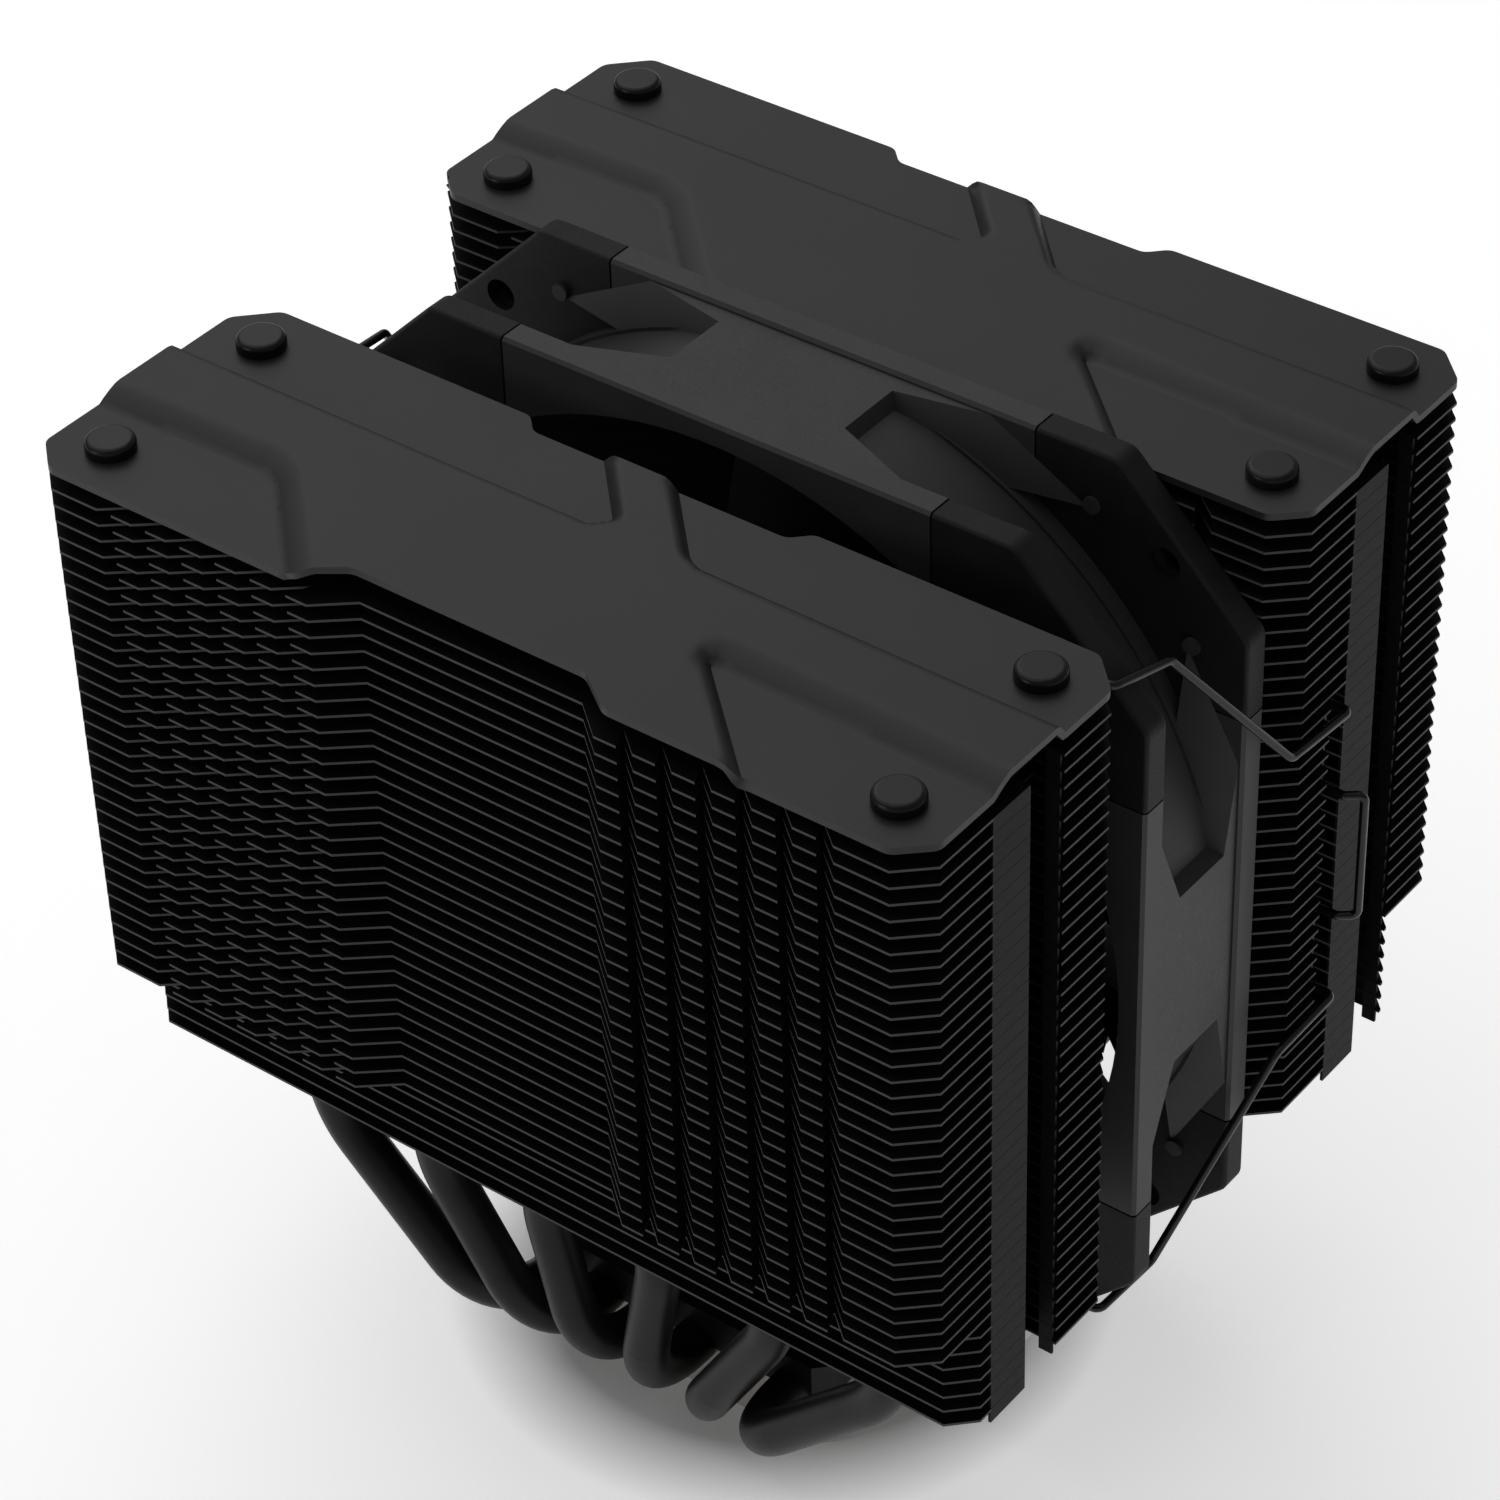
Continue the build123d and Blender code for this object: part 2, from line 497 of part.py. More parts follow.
def fan_frame():
    back = FAN_DEPTH - FLANGE
    frame = rod(LIP_RADIUS, FAN_DEPTH) + rod(SHELL_REAR_RADIUS, back - SHELL_REAR_Z, z=SHELL_REAR_Z)
    flat = side_flat()
    for quarter in range(4):
        frame += Rot(0, 0, 90 * quarter) * flat
    for flange_z in (0, back):
        slab = prism(octagon(HALF_FAN, FAN_CORNER_CUT), FLANGE, flange_z)
        ends = slab.edges().group_by(Axis.Z)
        frame += chamfer(ends[0] + ends[-1], BAR_EDGE_CHAMFER)
    for flange_z, inner_side in ((0, 1), (back, -1)):
        for quarter in range(4):
            turn = Rot(0, 0, 90 * quarter)
            frame -= turn * corner_region(HALF_FAN + 1, FAN_CORNER_CUT, FLANGE, flange_z)
            frame += turn * (tongue(flange_z) + corner_pins(flange_z, inner_side))
    frame -= rod(DUCT_RADIUS, FAN_DEPTH)
    frame += rod(CUP_RADIUS, CUP_THICKNESS, z=FAN_DEPTH - CUP_THICKNESS)
    frame += rod(BEARING_TUBE_RADIUS, FAN_DEPTH - CUP_THICKNESS - BEARING_TUBE_Z, z=BEARING_TUBE_Z)
    for strut in range(STRUTS):
        arm = block(STRUT_ROOT, STRUT_TIP, -STRUT_WIDTH / 2, STRUT_WIDTH / 2,
                    FAN_DEPTH - STRUT_HEIGHT, FAN_DEPTH)
        frame += Rot(0, 0, 45 + 360 / STRUTS * strut) * arm
    bore_low, bore_high = BEARING_TUBE_Z - OVERRUN, FAN_DEPTH - CUP_THICKNESS + BEARING_BLIND
    frame -= rod(BEARING_RADIUS, bore_high - bore_low, z=bore_low)
    for quarter in range(4):
        frame -= Rot(0, 0, 90 * quarter) * fan_hole()
    cable_notch = block(NOTCH_NEAR, NOTCH_FAR, HALF_FAN - CABLE_NOTCH_DEPTH, HALF_FAN + OVERRUN,
                        back - OVERRUN, FAN_DEPTH + OVERRUN)
    return frame - cable_notch


HUB_RADIUS, HUB_WALL, HUB_TOP_Z, HUB_REAR_Z = 20.5, 1.2, 3.0, 20.5
YOKE_WALL, MAGNET_WALL = 1.1, 1.6
YOKE_OUTER = HUB_RADIUS - HUB_WALL
MAGNET_OUTER = YOKE_OUTER - YOKE_WALL
MAGNET_INNER = MAGNET_OUTER - MAGNET_WALL
HUB_ROOF, HUB_BOSS_RADIUS, HUB_BOSS_HEIGHT, SHAFT_SEAT = 1.8, 3.2, 2.7, 0.8
YOKE_Z, YOKE_LENGTH = 5.2, 14.0
MAGNET_Z, MAGNET_LENGTH = 6.2, 12.0
TIP_GAP = 1.0
BLADE_TIP = DUCT_RADIUS - TIP_GAP
BLADE_THICKNESS, BLADE_EDGE, BLADE_CAMBER = 1.5, 0.3, 0.06
BLADE_ROOT = HUB_RADIUS - 0.3                     # the blades run this deep into the hub's wall
BLADE_STATIONS = ((18.8, 20.0, 48, 0.0), (38.0, 27.0, 36, 2.0), (63.0, 34.0, 26, 6.0))


def blade_section(radius, chord, pitch_angle, sweep_y):
    """Thin section at one radius; its plane faces outward along x."""
    plane = Plane(origin=(radius, sweep_y, (HUB_TOP_Z + HUB_REAR_Z) / 2), x_dir=(0, 1, 0), z_dir=(1, 0, 0))
    half, thick, camber, edge = chord / 2, BLADE_THICKNESS / 2, chord * BLADE_CAMBER, BLADE_EDGE / 2
    upper = Spline((-half, edge), (0, camber + thick), (half, edge))
    lower = Spline((half, -edge), (0, camber - thick), (-half, -edge))
    ends = [Line(upper @ 1, lower @ 0), Line(lower @ 1, upper @ 0)]
    return plane * (Rot(0, 0, pitch_angle) * make_face([upper, lower, *ends]))


def blade():
    """Lofted through its stations, each given as radius, chord, angle and sweep."""
    solid = loft([blade_section(*station) for station in BLADE_STATIONS])
    low, height = -FAN_DEPTH / 2, 2 * FAN_DEPTH
    return (solid & rod(BLADE_TIP, height, z=low)) - rod(BLADE_ROOT, height, z=low)


def rotor():
    hub = rod(HUB_RADIUS, HUB_REAR_Z - HUB_TOP_Z, z=HUB_TOP_Z)
    hub = fillet(hub.edges().group_by(Axis.Z)[0], HUB_WALL)
    hub -= rod(YOKE_OUTER, HUB_REAR_Z, z=HUB_TOP_Z + HUB_ROOF)
    hub += rod(HUB_BOSS_RADIUS, HUB_BOSS_HEIGHT, z=HUB_TOP_Z + HUB_ROOF)
    hub -= rod(SHAFT_RADIUS, HUB_ROOF + HUB_BOSS_HEIGHT, z=HUB_TOP_Z + SHAFT_SEAT)
    one = blade()
    for index in range(BLADES):
        hub += Rot(0, 0, 360 / BLADES * index) * one
    return hub


POLES, POLE_HALF, CORE_RADIUS = 4, 1.8, 8.0
CORE_LOW_Z, CORE_HIGH_Z = 11.0, 17.0
SHOE_OUTER, SHOE_INNER, SHOE_GAP_HALF = MAGNET_INNER - 0.5, MAGNET_INNER - 2.1, 1.6
COIL_HALF, COIL_OVERHANG, COIL_FIT, COIL_GAP = 4.0, 1.8, 0.1, 0.3


def stator_core():
    """Laminated core: poles with curved shoes on a sleeve round the bearing tube."""
    height = CORE_HIGH_Z - CORE_LOW_Z
    core = tube(CORE_RADIUS, BEARING_TUBE_RADIUS, height, CORE_LOW_Z)
    shoes = tube(SHOE_OUTER, SHOE_INNER, height, CORE_LOW_Z)
    pole = block(CORE_RADIUS - OVERRUN, SHOE_OUTER - OVERRUN, -POLE_HALF, POLE_HALF, CORE_LOW_Z, CORE_HIGH_Z)
    gap = block(CORE_RADIUS, SHOE_OUTER + OVERRUN, -SHOE_GAP_HALF, SHOE_GAP_HALF,
                CORE_LOW_Z - OVERRUN, CORE_HIGH_Z + OVERRUN)
    for index in range(POLES):
        core += Rot(0, 0, 360 / POLES * index) * pole
        shoes -= Rot(0, 0, 360 / POLES * (index + 0.5)) * gap
    return core + shoes


def winding(index):
    """Copper winding on one pole."""
    inner, outer = CORE_RADIUS + COIL_GAP, SHOE_INNER - COIL_GAP
    low, high, hole_half = CORE_LOW_Z - COIL_FIT, CORE_HIGH_Z + COIL_FIT, POLE_HALF + COIL_FIT
    coil = block(inner, outer, -COIL_HALF, COIL_HALF, CORE_LOW_Z - COIL_OVERHANG, CORE_HIGH_Z + COIL_OVERHANG)
    coil -= block(inner - OVERRUN, outer + OVERRUN, -hole_half, hole_half, low, high)
    return Rot(0, 0, 360 / POLES * index) * (coil & rod(outer, FAN_DEPTH))


def corner_turns():
    return [Rot(0, 0, 90 * quarter) for quarter in range(4)]


fan_place = Pos(0, FAN_FRONT_Y, FAN_CENTRE_Z) * Rot(-90, 0, 0)
save(fan_place * fan_frame(), "fan_frame", PLASTIC)
back_flange_z = FAN_DEPTH - FLANGE
corner_names = ("bottom_right", "bottom_left", "top_left", "top_right")
for flange_z, inner_side, side_name in ((0, 1, "front"), (back_flange_z, -1, "back")):
    corner = rubber_corner(flange_z, inner_side)
    for turn, corner_name in zip(corner_turns(), corner_names):
        save(fan_place * turn * corner, f"fan_pad_{side_name}_{corner_name}", RUBBER)

save(fan_place * rotor(), "fan_rotor", PLASTIC)
save(fan_place * tube(YOKE_OUTER, MAGNET_OUTER, YOKE_LENGTH, YOKE_Z), "rotor_yoke", STEEL)
save(fan_place * tube(MAGNET_OUTER, MAGNET_INNER, MAGNET_LENGTH, MAGNET_Z), "rotor_magnet", FERRITE)

SHAFT_LOW_Z, SHAFT_END_Z = HUB_TOP_Z + SHAFT_SEAT, FAN_DEPTH - CUP_THICKNESS + 0.6
SHAFT_GROOVE_Z, SHAFT_GROOVE, SHAFT_GROOVE_RADIUS = 22.6, 0.5, 1.1
CLIP_OUTER, CLIP_INNER, CLIP_THICKNESS, CLIP_MOUTH_HALF = 2.6, 1.12, 0.4, 0.8
BEARING_Z, BEARING_LENGTH, BEARING_FIT = 9.5, 12.5, 0.04
BOARD_Z, BOARD_RADIUS, BOARD_THICKNESS = 20.9, 16.5, 1.0

shaft = rod(SHAFT_RADIUS, SHAFT_END_Z - SHAFT_LOW_Z, z=SHAFT_LOW_Z)
shaft -= tube(SHAFT_RADIUS + OVERRUN, SHAFT_GROOVE_RADIUS, SHAFT_GROOVE, SHAFT_GROOVE_Z)
save(fan_place * shaft, "rotor_shaft", STEEL)
clip_z = SHAFT_GROOVE_Z + (SHAFT_GROOVE - CLIP_THICKNESS) / 2
clip_ring = tube(CLIP_OUTER, CLIP_INNER, CLIP_THICKNESS, clip_z)
clip_ring -= block(-CLIP_MOUTH_HALF, CLIP_MOUTH_HALF, 0, CLIP_OUTER + OVERRUN,
                   clip_z - OVERRUN, clip_z + OVERRUN)
save(fan_place * clip_ring, "shaft_clip_ring", PLASTIC)
bearing = tube(BEARING_RADIUS, SHAFT_RADIUS + BEARING_FIT, BEARING_LENGTH, BEARING_Z)
save(fan_place * bearing, "bearing_sleeve", BRONZE)
save(fan_place * stator_core(), "stator_core", STEEL)
save([fan_place * winding(index) for index in range(POLES)], "stator_windings", COPPER)
board = tube(BOARD_RADIUS, BEARING_TUBE_RADIUS, BOARD_THICKNESS, BOARD_Z)
save(fan_place * board, "motor_board", BOARD_GREEN)

# ---- Wire clips: from the fan's front flange holes round to the back tower's slots -------
CLIP_SIDE_X = HALF_X + WIRE_RADIUS + 0.4         # where the wire runs along the tower's end
HOOK_X, HOOK_DROP = CLIP_SIDE_X + 0.3, 0.8
SLOT_WIRE_X = SLOT_X + WIRE_RADIUS + 0.35
PIN_REACH = 3.2                                   # the wire's ends sit this deep in the fan's holes
CORNER_X, CORNER_Z = 60.6, 51.6                   # where it leaves the front of the rubber corner
SLOT_WIRE_Y = BACK_TOWER_Y + SLOT_CENTRE_Y
HANDLE_X, HANDLE_Y = HALF_X + 3.4, SLOT_WIRE_Y + 1.6
WIRE_FRONT_Y = FAN_FRONT_Y - WIRE_RADIUS - 0.4
CHAMFER_X, CHAMFER_Z = 62.0, 49.9                 # where the wire turns off the rubber corner


def fan_clip(side):
    """Half of the route from the hole to the handle, mirrored about the fan's middle."""
    on_fan = [(HOLE, FAN_FRONT_Y + PIN_REACH, HOLE), (HOLE, WIRE_FRONT_Y, HOLE),
              (CORNER_X, WIRE_FRONT_Y, CORNER_Z), (CHAMFER_X, 0, CHAMFER_Z)]
    on_tower = [(CLIP_SIDE_X, BACK_TOWER_Y, HOOK_Z + HOOK_DROP), (HOOK_X, SLOT_WIRE_Y, HOOK_Z),
                (SLOT_WIRE_X, SLOT_WIRE_Y, HOOK_Z), (SLOT_WIRE_X, SLOT_WIRE_Y, HANDLE_Z),
                (HOOK_X, SLOT_WIRE_Y, HANDLE_Z), (HANDLE_X, HANDLE_Y, HANDLE_Z)]
    upper = on_fan + [(x, y, z + CLIP_RISE) for x, y, z in on_tower]
    lower = on_fan + [(x, y, z - CLIP_RISE) for x, y, z in on_tower]
    route = upper + [(x, y, -z) for x, y, z in reversed(lower)]
    points = [(side * x, y, FAN_CENTRE_Z + z) for x, y, z in route]
    bends = [0.8, 1.2, 1.6, 1.6, 1.0, 0.9, 0.9, 0.7, 1.0]
    return wire(points, bends + list(reversed(bends)), WIRE_RADIUS)


save(fan_clip(-1), "fan_clip_left", BLACK_METAL)
save(fan_clip(1), "fan_clip_right", BLACK_METAL)
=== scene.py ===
import math

import bmesh
import bpy
from mathutils import Matrix, Vector
from mathutils.geometry import delaunay_2d_cdt


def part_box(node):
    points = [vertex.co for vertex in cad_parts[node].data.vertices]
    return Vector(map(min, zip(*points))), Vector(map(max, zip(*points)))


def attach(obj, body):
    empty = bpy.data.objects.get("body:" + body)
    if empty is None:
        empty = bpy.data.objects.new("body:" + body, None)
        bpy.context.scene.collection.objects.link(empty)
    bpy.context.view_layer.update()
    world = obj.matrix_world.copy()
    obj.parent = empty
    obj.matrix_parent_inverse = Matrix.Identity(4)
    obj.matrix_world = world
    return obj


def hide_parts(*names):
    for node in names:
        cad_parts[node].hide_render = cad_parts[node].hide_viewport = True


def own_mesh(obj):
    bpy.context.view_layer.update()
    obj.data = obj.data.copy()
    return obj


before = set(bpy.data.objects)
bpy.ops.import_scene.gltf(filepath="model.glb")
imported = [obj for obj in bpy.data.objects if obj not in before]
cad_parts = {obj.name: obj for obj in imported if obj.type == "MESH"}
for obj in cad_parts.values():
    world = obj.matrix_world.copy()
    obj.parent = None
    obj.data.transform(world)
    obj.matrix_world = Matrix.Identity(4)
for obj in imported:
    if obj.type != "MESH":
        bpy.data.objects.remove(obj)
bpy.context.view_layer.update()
MM = 0.001                                        # the scene is in metres


# ---- Shader helpers ---------------------------------------------------------------------
def new_material(name):
    material = bpy.data.materials.new(name)
    material.use_nodes = True
    tree = material.node_tree
    return material, tree, tree.nodes["Principled BSDF"]


def new_node(tree, kind, sockets):
    """One node, with the named sockets set."""
    node = tree.nodes.new(kind)
    for name, value in sockets.items():
        node.inputs[name].default_value = value
    return node


def noise(tree, coords, scale, detail, roughness=0.55, stretch=(1, 1, 1)):
    mapping = new_node(tree, "ShaderNodeMapping", {"Scale": stretch})
    tree.links.new(coords, mapping.inputs["Vector"])
    node = new_node(tree, "ShaderNodeTexNoise", {"Scale": scale, "Detail": detail, "Roughness": roughness})
    tree.links.new(mapping.outputs["Vector"], node.inputs["Vector"])
    return node.outputs["Fac"]


def remap(tree, value, low, high, from_low=0.3, from_high=0.7):
    """The value stretched to a new range. Most of a noise lies within the range it takes by default."""
    node = new_node(tree, "ShaderNodeMapRange",
                    {"From Min": from_low, "From Max": from_high, "To Min": low, "To Max": high})
    tree.links.new(value, node.inputs["Value"])
    return node.outputs["Result"]


def ramp(tree, value, stops):
    node = tree.nodes.new("ShaderNodeValToRGB")
    elements = node.color_ramp.elements
    while len(elements) < len(stops):
        elements.new(0.5)
    for element, (place, colour) in zip(elements, stops):
        element.position = place
        element.color = (*colour, 1)
    tree.links.new(value, node.inputs["Fac"])
    return node.outputs["Color"]


def bump(tree, height, strength, distance, normal=None):
    node = new_node(tree, "ShaderNodeBump", {"Strength": strength, "Distance": distance})
    tree.links.new(height, node.inputs["Height"])
    if normal is not None:
        tree.links.new(normal, node.inputs["Normal"])
    return node.outputs["Normal"]


def object_coords(tree):
    return tree.nodes.new("ShaderNodeTexCoord").outputs["Object"]


def axes_of(tree, vector):
    """The X, Y and Z of a vector, as three sockets."""
    split = tree.nodes.new("ShaderNodeSeparateXYZ")
    tree.links.new(vector, split.inputs["Vector"])
    return [split.outputs[axis] for axis in "XYZ"]


# ---- Materials --------------------------------------------------------------------------
def surface(name, dark, light, rough=(0.4, 0.5), cloud=60, grain=2500, grain_mm=0.02, grain_strength=0.3,
            metallic=0.0, specular=0.5, stretch=(1, 1, 1)):
    """A finish: colour and roughness that drift slowly, and a fine grain in the surface."""
    material, tree, shader = new_material(name)
    coords = object_coords(tree)
    drift = noise(tree, coords, cloud, 4)
    fine = noise(tree, coords, grain, 2, 0.6, stretch)
    tree.links.new(ramp(tree, drift, ((0.35, dark), (0.65, light))), shader.inputs["Base Color"])
    tree.links.new(remap(tree, fine, *rough), shader.inputs["Roughness"])
    tree.links.new(bump(tree, fine, grain_strength, grain_mm * MM), shader.inputs["Normal"])
    shader.inputs["Metallic"].default_value = metallic
    shader.inputs["Specular IOR Level"].default_value = specular
    return material


def grey(value):
    return (value, value, value)


def math_node(tree, operation, first, second=0.0):
    node = tree.nodes.new("ShaderNodeMath")
    node.operation = operation
    for socket, value in zip(node.inputs, (first, second)):
        if isinstance(value, float):
            socket.default_value = value
        else:
            tree.links.new(value, socket)
    return node.outputs["Value"]


FIN_PITCH, FIN_THICKNESS, TOP_FIN_Z = 2.42, 0.4, 145.38
EDGE_SKIN = 0.03                                  # left dark above and below each painted edge highlight
UNDERCUT_FACING = 0.3                             # how far outwards a tooth's hidden side faces


def painted_edge_highlights(material, pitch, low_z, thickness, folded_y, teeth_x, colour):
    """Painted highlight: every fin's cut edge is painted lighter than its faces, but not where it's folded;
    the teeth's undercut sides are left dark as painted shade.
    """
    tree = material.node_tree
    shader = tree.nodes["Principled BSDF"]
    x, y, z = axes_of(tree, object_coords(tree))
    height_in_pitch = math_node(tree, "DIVIDE", z, pitch * MM)
    phase = math_node(tree, "FRACT", math_node(tree, "SUBTRACT", height_in_pitch, (low_z + EDGE_SKIN) / pitch))
    edge = math_node(tree, "LESS_THAN", phase, (thickness - 2 * EDGE_SKIN) / pitch)
    depth = math_node(tree, "ABSOLUTE", y)
    nearer = math_node(tree, "LESS_THAN", depth, folded_y[0] * MM)
    further = math_node(tree, "GREATER_THAN", depth, folded_y[1] * MM)
    edge = math_node(tree, "MULTIPLY", edge, math_node(tree, "ADD", nearer, further))
    facing_x = axes_of(tree, tree.nodes.new("ShaderNodeNewGeometry").outputs["True Normal"])[0]
    outward = math_node(tree, "MULTIPLY", facing_x, math_node(tree, "SIGN", x))
    inner = math_node(tree, "LESS_THAN", math_node(tree, "ABSOLUTE", x), teeth_x * MM)
    hidden_side = math_node(tree, "GREATER_THAN", outward, UNDERCUT_FACING)
    undercut = math_node(tree, "MULTIPLY", inner, hidden_side)
    edge = math_node(tree, "MULTIPLY", edge, math_node(tree, "SUBTRACT", 1.0, undercut))
    mix = tree.nodes.new("ShaderNodeMix")
    mix.data_type = "RGBA"
    tree.links.new(edge, mix.inputs["Factor"])
    tree.links.new(shader.inputs["Base Color"].links[0].from_socket, mix.inputs["A"])
    mix.inputs["B"].default_value = (*colour, 1)
    tree.links.new(mix.outputs["Result"], shader.inputs["Base Color"])


def shingled_ends(material, pitch, end_x, lean, lift):
    """Each folded tab on the towers' ends tilts a little, and overlaps the next like a shingle."""
    tree = material.node_tree
    shader = tree.nodes["Principled BSDF"]
    x, y, z = axes_of(tree, object_coords(tree))
    slanted = math_node(tree, "ADD", z, math_node(tree, "MULTIPLY", y, lean))
    saw = math_node(tree, "FRACT", math_node(tree, "DIVIDE", slanted, pitch * MM))
    on_end = math_node(tree, "GREATER_THAN", math_node(tree, "ABSOLUTE", x), end_x * MM)
    grain = shader.inputs["Normal"].links[0].from_socket
    tilt = bump(tree, math_node(tree, "MULTIPLY", saw, on_end), 1.0, lift * MM, grain)
    tree.links.new(tilt, shader.inputs["Normal"])


COVER = surface("cover_coat", grey(0.0095), grey(0.0120), (0.40, 0.48), cloud=45, grain=5200,
                grain_mm=0.012, grain_strength=0.35, specular=0.3)
FINS = surface("fin_coat_and_painted_edge_highlights", grey(0.0060), grey(0.0080), (0.38, 0.5), cloud=120, grain=3800, grain_mm=0.01,
               specular=0.03)
shingled_ends(FINS, pitch=FIN_PITCH, end_x=68.0, lean=0.5, lift=0.6)
# Painted highlight on the fins' cut edges, with painted shade kept on the teeth's undercut sides
painted_edge_highlights(FINS, pitch=FIN_PITCH, low_z=TOP_FIN_Z % FIN_PITCH, thickness=FIN_THICKNESS,
              folded_y=(31.6, 45.8), teeth_x=60.0, colour=grey(0.062))
CAPS = surface("cap_coat", grey(0.0045), grey(0.0060), (0.26, 0.34), cloud=200, grain=5000, grain_mm=0.008,
               specular=0.2)
PIPES = surface("pipe_coat", grey(0.0060), grey(0.0080), (0.36, 0.46), cloud=90, grain=4200, grain_mm=0.01,
                specular=0.2)
FRAME_PLASTIC = surface("frame_plastic", grey(0.023), grey(0.028), (0.42, 0.56), cloud=80, grain=3600,
                        grain_mm=0.03, grain_strength=0.4, specular=0.3)
BLADE_PLASTIC = surface("blade_plastic", grey(0.018), grey(0.022), (0.38, 0.5), cloud=80, grain=4200,
                        grain_mm=0.015)
PAD_RUBBER = surface("pad_rubber", grey(0.0065), grey(0.0090), (0.5, 0.65), cloud=150, grain=3000,
                     grain_mm=0.03, grain_strength=0.5, specular=0.17)
WIRE = surface("wire_coat", grey(0.0045), grey(0.0065), (0.14, 0.22), cloud=200, grain=4000, grain_mm=0.006,
               specular=0.32)
PLATE = surface("plated_copper", (0.62, 0.59, 0.55), (0.7, 0.67, 0.63), (0.18, 0.3), cloud=90, grain=1200,
                grain_mm=0.01, metallic=1.0, stretch=(0.04, 1, 1))
STEEL = surface("plated_steel", grey(0.42), grey(0.5), (0.25, 0.38), cloud=120, grain=1500, grain_mm=0.01,
                metallic=1.0, stretch=(0.1, 1, 1))
MAGNET = surface("bonded_ferrite", grey(0.05), grey(0.065), (0.5, 0.65), cloud=300, grain=3000)
NYLON = surface("white_nylon", grey(0.6), grey(0.66), (0.4, 0.5), cloud=300, grain=3000)
BRONZE = surface("sintered_bronze", (0.42, 0.27, 0.11), (0.5, 0.33, 0.15), (0.35, 0.5), cloud=400, grain=3500,
                 metallic=1.0)
COPPER = surface("enamelled_wire", (0.4, 0.13, 0.05), (0.5, 0.18, 0.07), (0.2, 0.35), cloud=300, grain=900,
                 grain_mm=0.1, metallic=0.8, stretch=(1, 1, 4))
BOARD = surface("solder_mask", (0.01, 0.06, 0.02), (0.015, 0.085, 0.03), (0.25, 0.35), cloud=400, grain=2500)

FINISH = {
    "cold_plate": PLATE, "base_block": PIPES, "mounting_bar": STEEL, "bar_screws": STEEL,
    "front_tower_fins": FINS, "front_tower_lower_fins": FINS,
    "back_tower_fins": FINS, "back_tower_lower_fins": FINS,
    "front_cover": COVER, "back_cover": COVER, "front_cover_caps": CAPS, "back_cover_caps": CAPS,
    "fan_frame": FRAME_PLASTIC, "fan_rotor": BLADE_PLASTIC, "rotor_yoke": STEEL, "rotor_magnet": MAGNET,
    "rotor_shaft": STEEL, "shaft_clip_ring": NYLON, "bearing_sleeve": BRONZE, "stator_core": STEEL,
    "stator_windings": COPPER, "motor_board": BOARD, "fan_clip_left": WIRE, "fan_clip_right": WIRE,
}


def finish_of(node_name):
    """Pipes and pads by the start of their names. What is left is steel."""
    if node_name.startswith("heat_pipe"):
        return PIPES
    if node_name.startswith("fan_pad"):
        return PAD_RUBBER
    return FINISH.get(node_name, STEEL)


for node_name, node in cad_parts.items():
    node.data.materials.clear()
    node.data.materials.append(finish_of(node_name))


# ---- Top covers: one formed sheet each --------------------------------------------------
HALF_X, DEPTH = 68.2, 42.8
SHEET, RISE = 1.0, 1.6
RECESS_X = 17.8
OUTLINE_RIGHT = [(23.6, 0), (64.0, 0), (68.2, 3.9), (68.2, 37.9), (63.3, 42.8), (22.1, 42.8), (19.6, 40.3)]
RAISED = [(-76, 13.4), (-41.4, 14.5), (-38.7, 13.3), (-25.2, 0), (-17.2, -8), (52.4, -8), (43.8, 0),
          (27.5, 15.1), (28.9, 15.6), (76, 13.8), (76, 28.4), (16.0, 28.9), (13.0, 30.1), (3.4, 40.2),
          (-5.6, 49.7), (-17.4, 49.8), (-8.4, 40.3), (0.8, 30.6), (-1.0, 28.6), (-76, 28.4)]
SOFT_EDGES, SOFT_SLOPE = (0, 1, 2, 3, 4, 5, 8), 3.6       # the front foot of the band and of its lobe
CRISP_SLOPE = 1.3
SLOPE_START, SLOPE_EASE = 1.4, 0.4                # a slope is steeper at its foot
OUTLINE_CORNER, RAISED_CORNER, CORNER_SHARE = 0.9, 1.2, 0.45
POINT_CLEARANCE = 0.55                            # of a step, from any other point
MERGE_WITHIN = 1e-5
EDGE_ROUND, SHARP_ANGLE = 0.22, 50


def rounded(points, radius, steps=5):
    """Closed outline with its corners rounded."""
    result = []
    count = len(points)
    for i, corner in enumerate(points):
        here = Vector(corner)
        before = Vector(points[i - 1]) - here
        after = Vector(points[(i + 1) % count]) - here
        reach = min(radius, before.length * CORNER_SHARE, after.length * CORNER_SHARE)
        start, end = here + before.normalized() * reach, here + after.normalized() * reach
        for step in range(steps + 1):
            t = step / steps
            result.append(start * (1 - t) ** 2 + here * 2 * t * (1 - t) + end * t ** 2)
    return result


def inside(point, polygon):
    x, y = point
    found = False
    for (x0, y0), (x1, y1) in zip(polygon, polygon[1:] + polygon[:1]):
        if (y0 > y) != (y1 > y) and x < (x1 - x0) * (y - y0) / (y1 - y0) + x0:
            found = not found
    return found


def segment_distance(point, a, b):
    along = b - a
    t = max(0.0, min(1.0, (point - a).dot(along) / along.length_squared))
    return (point - a - along * t).length


RAISED_POINTS = [Vector(p) for p in RAISED]


def height(point):
    """Height of the sheet's upper face above its low pads."""
    if not inside(point, RAISED):
        return 0.0
    share = 1.0
    for i, a in enumerate(RAISED_POINTS):
        b = RAISED_POINTS[(i + 1) % len(RAISED_POINTS)]
        width = SOFT_SLOPE if i in SOFT_EDGES else CRISP_SLOPE
        share = min(share, segment_distance(point, a, b) / width)
    return RISE * share * (SLOPE_START - SLOPE_EASE * share)


def divided(outline, step):
    """The outline with points no more than a step apart."""
    result = []
    for a, b in zip(outline, outline[1:] + outline[:1]):
        pieces = max(1, round((b - a).length / step))
        result += [a.lerp(b, i / pieces) for i in range(pieces)]
    return result


def cell(point, step):
    return (int(point.x // step), int(point.y // step))


